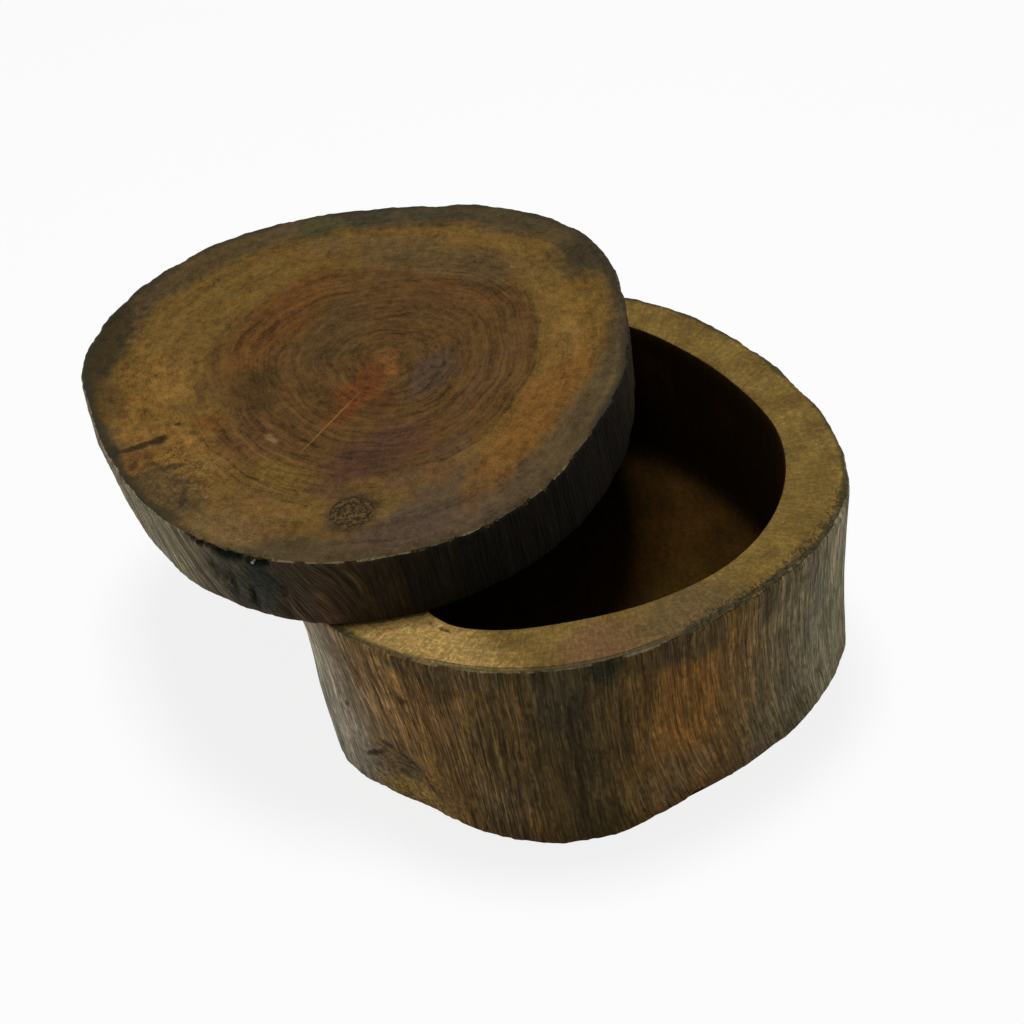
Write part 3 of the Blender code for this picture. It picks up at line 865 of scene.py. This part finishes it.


# The lid
# The slice from above the saw cut, turned open about its pivot and bored for its screw. Its top is oiled end
# grain with a painted highlight along its front arris. Its side is darker than the body's, and is painted
# almost black as painted shade where it stands over the hollow. The wood is torn away in a split under part of
# the arris, and the split is painted dark as painted shade.
LID_SPOKES = 800
LID_CHIPS = (
    (179, 2, 0.8), (184, 2, 1), (190, 2.5, 0.8), (196, 1.5, 1.2), (203, 2, 0.4), (212, 1.5, 0.4),
    (225, 2.2, 1.2), (231, 1.5, 0.8), (238.5, 2.5, 1.2), (247, 1.2, 1.3), (253, 1.5, 1.8), (262, 2, 0.7),
    (270, 1.3, 1.2), (283, 3, 0.6), (296, 3, 0.8), (320, 4, 0.6), (345, 3, 0.6), (14, 4, 0.7), (48, 3, 0.8),
    (75, 4, 0.6), (104, 3, 0.8), (128, 4, 0.6), (150, 3, 0.7),
)
FOOT_CHIPS = ((192, 3, 0.8), (236, 4, 0.4))
SPLIT_TURNS = (177.0, 181.0, 194.0, 198.0)
LID_DENTS = (
    (187, 86.5, 2.2, 5.5, 1), (191.5, 83, 1, 6, 1.2), (183, 90, 1.2, 5, 0.9), (199, 85, 1.4, 7, 0.8),
)
pivot = Vector([joint for joint in frame["joints"] if joint["name"] == "lid_swivel"][0]["pos_m"])
OPENED = math.radians(54.5)
opening = Matrix.Translation(pivot) @ Matrix.Rotation(OPENED, 4, "Z") @ Matrix.Translation(-pivot)
lid_axis = opening @ Vector((0.0, 0.0, 0.0))
lid_centre = (lid_axis.x, lid_axis.y)
lid_tree = solid_tree("lid")
LID_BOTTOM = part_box("lid")[0][2]
lid_low = measured_outline(lid_tree, lid_centre, LID_BOTTOM + 0.003, LID_SPOKES)
lid_high = measured_outline(lid_tree, lid_centre, LID_TOP - 0.003, LID_SPOKES)

# The points are closer together over the split under the arris
SPLIT_BELOW = LID_TOP - 0.0035
lid_profile = [
    *at_height(LID_BOTTOM, [0.0] + steps(0.0, 0.066, 12) + [0.068]),
    *foot_corner(LID_BOTTOM),
    *at_radius(BLANK_WALL, steps(LID_BOTTOM + ARRIS, SPLIT_BELOW, 12)),
    *at_radius(BLANK_WALL, steps(SPLIT_BELOW, LID_TOP - ARRIS, 6)),
    *top_corner(LID_TOP),
    *at_height(LID_TOP, steps(BLANK_WALL - CLOSE_RINGS[-1], 0.0, 56)),
]
lid = turned_blank("log_lid", lid_profile, LID_SPOKES, lid_centre)
turns, blank_radii, heights, wall = rounds_of(lid, lid_centre, LID_BOTTOM, lid_low, LID_TOP, lid_high)
radii = wall * blank_radii / BLANK_WALL
on_side = blank_radii > BLANK_WALL - 1.5 * ARRIS
from_side = np.clip(wall - radii, 0.0, None)
closed_turns = turns - OPENED
radii += fibre_relief(on_side, closed_turns, heights)
drawn_in, let_down = worn_ends(closed_turns, heights, from_side, LID_TOP, LID_BOTTOM, LID_SPOKES,
                               (0.00030, LID_CHIPS), (0.00022, FOOT_CHIPS))
radii -= drawn_in + on_side * pushed_in(closed_turns, heights, LID_DENTS)
# The split: the side falls back just under the arris, by an uneven millimetre or two
split = np.interp(np.degrees(closed_turns) % 360, SPLIT_TURNS, (0.0, 1.0, 1.0, 0.0))
round_lid = LOG_RADIUS * np.stack([np.cos(closed_turns), np.sin(closed_turns), np.zeros(len(turns))], axis=1)
ragged = np.zeros(len(turns))
ragged[split > 0] = noise_at(round_lid[split > 0] / 0.0025, 5.0)
SPLIT_HEIGHT, SPLIT_DEPTH = 0.0016, 0.0022
below_arris = LID_TOP - heights - 0.0012 - 0.0006 * ragged
mouth = np.clip(1.0 - (below_arris / (SPLIT_HEIGHT * (1.0 + 0.5 * ragged))) ** 2, 0.0, 1.0)
radii -= on_side * (below_arris > -0.0007) * split * mouth * SPLIT_DEPTH * (0.7 + 0.6 * ragged)
heights = heights - let_down
across, back = radii * np.cos(turns), radii * np.sin(turns)
move_to(lid, np.stack([lid_centre[0] + across, lid_centre[1] + back, heights], axis=1))

plug_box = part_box("pivot_plug")
plug_at = middle_of(plug_box)
SCREW_BORE = 0.0048
PLUG_HOLE = plug_box[1][0] - plug_box[0][0] + 0.0006
washer_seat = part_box("pivot_washer")[0][2] - 0.0003
bored(lid, SCREW_BORE, LID_BOTTOM - 0.010, LID_TOP + 0.010, plug_at)
bored(lid, PLUG_HOLE, washer_seat, LID_TOP + 0.010, plug_at)
places = positions_of(lid)
closing = np.array(opening.inverted())
in_log = places @ closing[:3, :3].T + closing[:3, 3]
lid_rings = [(height, growth_ring(np.roll(ring, -round(LID_SPOKES * OPENED / math.tau))))
             for height, ring in ((SAW_CUT, lid_low), (LID_TOP, lid_high))]
mark_wood(lid, in_log, lid_rings)


def glue_stain(flat, ragged):
    # The pitted stain on the plug and round it: its specks, and how strong it is inside its ragged edge
    near_plug = flat.patch((plug_at[0] * 1000, plug_at[1] * 1000, 0), (10.5, 9.5, DEEP), 0.3)
    return flat.noise(1.2, 4, 0.75), (near_plug + (ragged - 0.5) * 0.5).between(0.22, 0.5)


def oiled_top(name, patches, marks, cracks):
    # The lid's top: oiled end grain, with a dark ragged border on the far sides and a painted highlight along
    # the arris in front
    material, in_log, growth, colour, (roughness, height) = end_grain(
        name, 0.05, (74, 60, 38), (102, 77, 35), (82, 58, 28), patches, marks, 0)
    flat = in_log.stretched((1, 1, 0))
    ragged = in_log.noise(2.2, 4, 0.65)
    specks, speckled = glue_stain(flat, ragged)
    from_side = (1 - growth) * PITH_TO_BARK + (ragged - 0.5) * 3
    network = flat.noise((2.6, 2, 1), 3, 0.6, (3, 2, 0)).threads(0.06)
    over_knot = flat.patch((-62, 20, 0), (17, 20, DEEP)).between(0.05, 0.45)
    colour = colour.blended((42, 33, 20), network * over_knot * 0.55)
    colour = stained(colour, flat.nudged(0.2, 4), on_the_cut(cracks), (ragged - 0.5) * 0.5)
    border = (from_side - (in_log.noise(14) - 0.5) * 6).between(3.6, 0.6)
    far_side = 1 - in_log.sector(168, 276, 10)
    # A painted highlight along the front arris of the top.
    painted_arris_highlight = from_side.between(0.9, 0.4) * in_log.sector(193, 276, 5) * ragged.between(0.40, 0.52)
    for tint, amount in (((34, 29, 19), specks.between(0.48, 0.56) * speckled * 0.8),
                         ((46, 42, 30), border * (far_side * 0.75 + 0.1)),
                         ((122, 110, 84), painted_arris_highlight * 0.8)):
        colour = colour.blended(tint, amount)
    return finished(material, colour, roughness, height, 0.0003, 0.6)


top_patches = [
    # The weathered band, where it is wider, greyer or darker
    (-35, -58, 44, 18, -30, (76, 61, 43), 0.9), (-50, -49, 26, 9, -42, (74, 58, 46), 0.7),
    (8, -71, 46, 16, 3, (79, 64, 40), 0.9), (66, 28, 34, 15, -65, (62, 54, 37), 0.9),
    (75, -4, 12, 28, 0, (64, 54, 34), 0.8), (50, 46, 11, 9, 0, (60, 60, 32), 0.7),
    (59.5, 32.5, 8, 7, 0, (56, 50, 34), 0.7), (-23, 72, 36, 12, 20, (50, 40, 20), 0.95),
    (-45, 56, 16, 6, 45, (52, 42, 20), 0.9), (24, 68, 34, 12, -22, (76, 60, 33), 0.7),
    (67, -37, 19, 17, 30, (55, 46, 29), 0.95),
    # The golden sapwood
    (-38, 47, 31, 14, 35, (118, 86, 38), 0.95), (-51, 22, 11, 28, -8, (120, 87, 40), 0.9),
    (-62, -10, 16, 20, 0, (106, 78, 41), 0.7), (2, -56.5, 56, 10, 3, (112, 76, 33), 0.9),
    (45, -47, 26, 12, 28, (106, 79, 34), 0.9), (51, 22, 16, 12, -50, (102, 76, 40), 0.6),
    (49, 4, 46, 12, -79, (86, 67, 39), 0.85), (33, -48, 13, 7, 30, (122, 92, 46), 0.6),
    (48, -11, 10, 13, 0, (78, 60, 35), 0.6), (42, 37, 9, 8, 0, (84, 66, 40), 0.6),
    (-42, 54, 15, 7, 58, (70, 53, 25), 0.75), (-29, 42, 13, 8, 40, (128, 95, 44), 0.8),
    (-52, 11, 7, 9, 0, (120, 91, 47), 0.7), (-71, -4, 9, 17, 0, (110, 86, 50), 0.8),
    (-33, -41, 21, 7, -42, (86, 62, 39), 0.75), (-20, -44, 9, 6, -30, (82, 61, 41), 0.6),
    (-47, -23, 10, 7, -60, (86, 61, 38), 0.7), (-38, 22, 7, 10, 0, (102, 65, 27), 0.8),
    # The heartwood
    (8, 31, 44, 13, 0, (92, 60, 25), 0.8), (9, 29, 11, 8, 0, (94, 60, 29), 0.5),
    (-28, 31, 9, 7, 30, (86, 61, 33), 0.6), (-21, 18, 15, 10, 30, (68, 49, 22), 0.8),
    (6, 12, 26, 12, 8, (74, 56, 29), 0.7), (-39, 8, 15, 18, -8, (88, 61, 33), 0.8),
    (-30, -26, 26, 13, -25, (75, 50, 34), 0.9), (4, -22, 19, 9, 5, (71, 55, 40), 0.85),
    (-12, -17, 8, 6, 0, (66, 40, 18), 0.8), (8, -37, 28, 8, 3, (82, 58, 34), 0.6),
    (38, -8, 9, 20, 0, (90, 60, 32), 0.6), (-10, -8, 24, 8, 3, (97, 55, 25), 0.85),
    (1, -9.8, 7, 3.6, 25, (112, 73, 34), 0.8),
    # The old branch scar, the mottled knot beside it and the stain round the plug
    (-60, 32, 12, 8, -44, (116, 80, 33), 0.7), (-65, 17, 13, 14, 0, (96, 74, 42), 0.85),
    (-52.5, -33, 13, 11, 0, (72, 56, 34), 0.8),
]
top_marks = [
    (-54.4, 34.6, 9, 1.7, -39, (42, 29, 15), 0.85), (-50, 31, 4.2, 2.6, -30, (42, 29, 15), 0.85),
    (-58, 32, 9, 3.4, -40, (90, 58, 32), 0.35), (-61.5, 31, 3, 1.3, 10, (48, 34, 20), 0.7),
    (-58.5, 27, 1.4, 3.4, 20, (52, 38, 22), 0.6), (-59.2, 39.8, 4.6, 3.4, 30, (40, 31, 18), 0.9),
    (-64, 33, 5, 2.4, 50, (70, 50, 28), 0.6), (-42.2, 30, 1.6, 1.6, 0, (46, 32, 16), 0.85),
    (-43.6, 24, 1.4, 2, 0, (56, 40, 20), 0.7), (-39.7, 17.5, 1.6, 1.6, 0, (58, 40, 20), 0.7),
    (-36.8, 3.2, 1.7, 3.6, -14, (134, 106, 68), 0.7), (54.4, -18.3, 0.8, 1.5, 0, (122, 104, 70), 0.7),
    (-63, 5.5, 0.8, 0.7, 0, (132, 118, 90), 0.7), (-69, 22, 6, 4, 40, (64, 50, 32), 0.4),
    (-57, 21, 6, 1.8, -50, (48, 36, 22), 0.7), (-66, 11, 7, 1.6, 30, (50, 40, 26), 0.7),
    (-61, 15.5, 1.8, 5.5, 10, (52, 42, 28), 0.6),
]
# The pale crack that runs in to the pith, faint further out
top_cracks = [
    (-25, -7.9, 21, 0.50, -2, (136, 98, 54), 0.6), (-58, -8, 18, 0.40, 0, (122, 92, 52), 0.3),
]
top_finish = oiled_top("oiled_top", top_patches, top_marks, top_cracks)
# Round the lid's side, by degrees from +X with the lid closed. From about 212 to 310 degrees the side is
# painted almost black, darkest from 222 to 285: painted shade, where this side stands over the hollow with the
# lid open.
lid_stains_and_painted_shade = [(0, (104, 86, 58)), (60, (94, 76, 48)), (120, (106, 92, 66)), (158, (128, 118, 96)),
              (174, (122, 112, 88)), (182, (92, 82, 64)), (189, (64, 58, 46)), (200, (60, 49, 33)),
              (212, (52, 39, 19)), (222, (26, 18, 6)), (236, (14, 10, 4)), (285, (18, 13, 5)),
              (310, (60, 46, 27)), (335, (94, 78, 52)), (360, (104, 86, 58))]
lid_patches = [
    (207, 84, 7, 14, (70, 46, 28), 0.6), (193, 82, 8, 10, (54, 56, 48), 0.6),
    (195, 91, 7, 8, (34, 39, 32), 0.7), (186, 90, 5, 8, (60, 54, 42), 0.6), (202, 82, 5, 7, (66, 46, 36), 0.5),
]
lid_marks_and_split_shade = [
    # The first three marks paint the split under the arris nearly black: painted shade in the split.
    (181, 97, 4.5, 2.3, (18, 22, 17), 1.0), (187.5, 96.6, 7, 3.2, (16, 20, 16), 1.0),
    (194, 96.8, 5.5, 2.6, (16, 20, 15), 1.0), (187.5, 86, 2.2, 8, (24, 26, 20), 0.85),
    (192, 82, 1.8, 8, (20, 22, 16), 0.85), (183.5, 89, 1.6, 7, (40, 40, 32), 0.7),
    (193.6, 96.4, 0.6, 0.5, (168, 162, 146), 0.9),
]
lid_crumbs = [(192, 88, 16, 14, 0.6)]
lid_side = weathered_side("lid_side", lid_stains_and_painted_shade, lid_patches, lid_marks_and_split_shade, lid_crumbs, 0.0)
underside = sawn_end("lid_underside", (88, 72, 46), (112, 88, 50), (88, 62, 36))


turns, radii, heights, from_bore = face_rounds(lid, lid_centre, plug_at)
between_faces = (heights > LID_BOTTOM + 0.0001) & (heights < LID_TOP - 0.0001)
in_bore = (from_bore < PLUG_HOLE / 2 + NEAR_BORE) & between_faces
inside_arris = radii < ring_value(lid_high, turns) - ARRIS
on_top = (heights > LID_TOP - NEAR_CUT) | (heights > LID_TOP - TOP_WORN_TO) & inside_arris
zones = np.select([in_bore, on_top, heights < LID_BOTTOM + NEAR_CUT], [2, 1, 2], 0)
give_finishes(lid, (lid_side, top_finish, underside), zones)
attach(lid, "swivel_lid")
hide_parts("lid")


# The screw and its washer
# A pan-head wood screw, driven down through the lid into the boss in the wall, with a flat washer under its
# head. Both are bright zinc-plated steel, turned and rolled, with a little sawdust left on them.
def zinc_plate(name, lines):
    material, wires = new_finish(name)
    place = wires.add("TexCoord", {}, {}, output=3).brightened(1000)
    from_axis = place.stretched((1, 1, 0), place=(-pivot_at[0] * 1000, -pivot_at[1] * 1000, 0))
    away = place.add("VectorMath", {"operation": "LENGTH"}, {0: from_axis}, output=1)
    lathe = place.add("CombineXYZ", {}, {0: away * lines, 1: place.part("Z") * lines}).noise(1, 3, 0.7)
    tint = place.noise(2.5, 3)
    dust = place.noise(1.2, 4, 0.7).between(0.57, 0.68) * 0.7
    colour = plain_colour(wires, (206, 208, 209)).blended((212, 203, 181), tint.between(0.45, 0.65) * 0.5)
    colour = colour.brightened(0.92 + (lathe - 0.5) * 0.5).blended((104, 76, 44), dust)
    wires.tree.links.new((1 - dust).socket, wires.tree.nodes["Principled BSDF"].inputs["Metallic"])
    return finished(material, colour, 0.25 + lathe * 0.25 + dust * 0.4, lathe + dust, 0.00003, 0.6)


for node, lines in (("pivot_screw", 8.0), ("pivot_washer", 5.0)):
    for slot in nodes[node].material_slots:
        slot.material = zinc_plate(node + "_zinc", lines)


# The plug over the screw
# A short dowel glued into the counterbore and sanded level with the lid. Its end is dark and pitted with
# glue and sawdust, so that its edge is hard to tell from the wood round it.
PLUG_SPOKES = 96
plug_radius = PLUG_HOLE / 2 - 0.00003
plug_bottom, plug_top = plug_box[0][2], plug_box[1][2]
plug_profile = [
    *at_height(plug_bottom, (0.0, 0.003, plug_radius - 0.0004)),
    *at_radius(plug_radius, [plug_bottom + 0.0004] + steps(plug_bottom + 0.0004, plug_top - 0.0002, 6)),
    (plug_radius - 0.0001, plug_top - 0.00005),
    *at_height(plug_top, steps(plug_radius - 0.0001, 0.0, 18)),
]
plug = turned_blank("dowel_plug", plug_profile, PLUG_SPOKES, plug_at)
places = positions_of(plug)
from_middle = np.hypot(places[:, 0] - plug_at[0], places[:, 1] - plug_at[1])
pitted = (places[:, 2] > plug_top - 0.0001) & (from_middle < plug_radius - 0.0003)
pits = 0.5 + 0.5 * noise_at(places[pitted] / 0.0009) + 0.4 * noise_at(places[pitted] / 0.0026, 3.0)
places[pitted, 2] -= 0.00022 * np.clip(pits, 0.0, 1.2)
move_to(plug, places)
mark_wood(plug, places, lid_rings)


def pitted_plug(name):
    material, in_log, _, _ = wood(name, 0.05)
    flat = in_log.stretched((1, 1, 0))
    specks, speckled = glue_stain(flat, flat.noise(2.2, 4, 0.65))
    wrinkles = flat.noise((1.5, 1.1, 1), place=(2, 6, 0)).threads(0.09)
    colour = plain_colour(in_log, (94, 73, 42)).blended((104, 80, 44), flat.noise(3).between(0.5, 0.65) * 0.6)
    colour = colour.blended((32, 28, 18), specks.between(0.45, 0.53) * speckled * 0.9)
    colour = colour.blended((28, 24, 15), wrinkles * speckled * 0.12).brightened(0.75 + specks * 0.5)
    return finished(material, colour, 0.70 + specks * 0.2, specks - wrinkles * 0.3, 0.0003, 0.8)


plug.data.materials.clear()
plug.data.materials.append(pitted_plug("pitted_plug"))
plug.data.shade_smooth()
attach(plug, "swivel_lid")
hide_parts("pivot_plug")
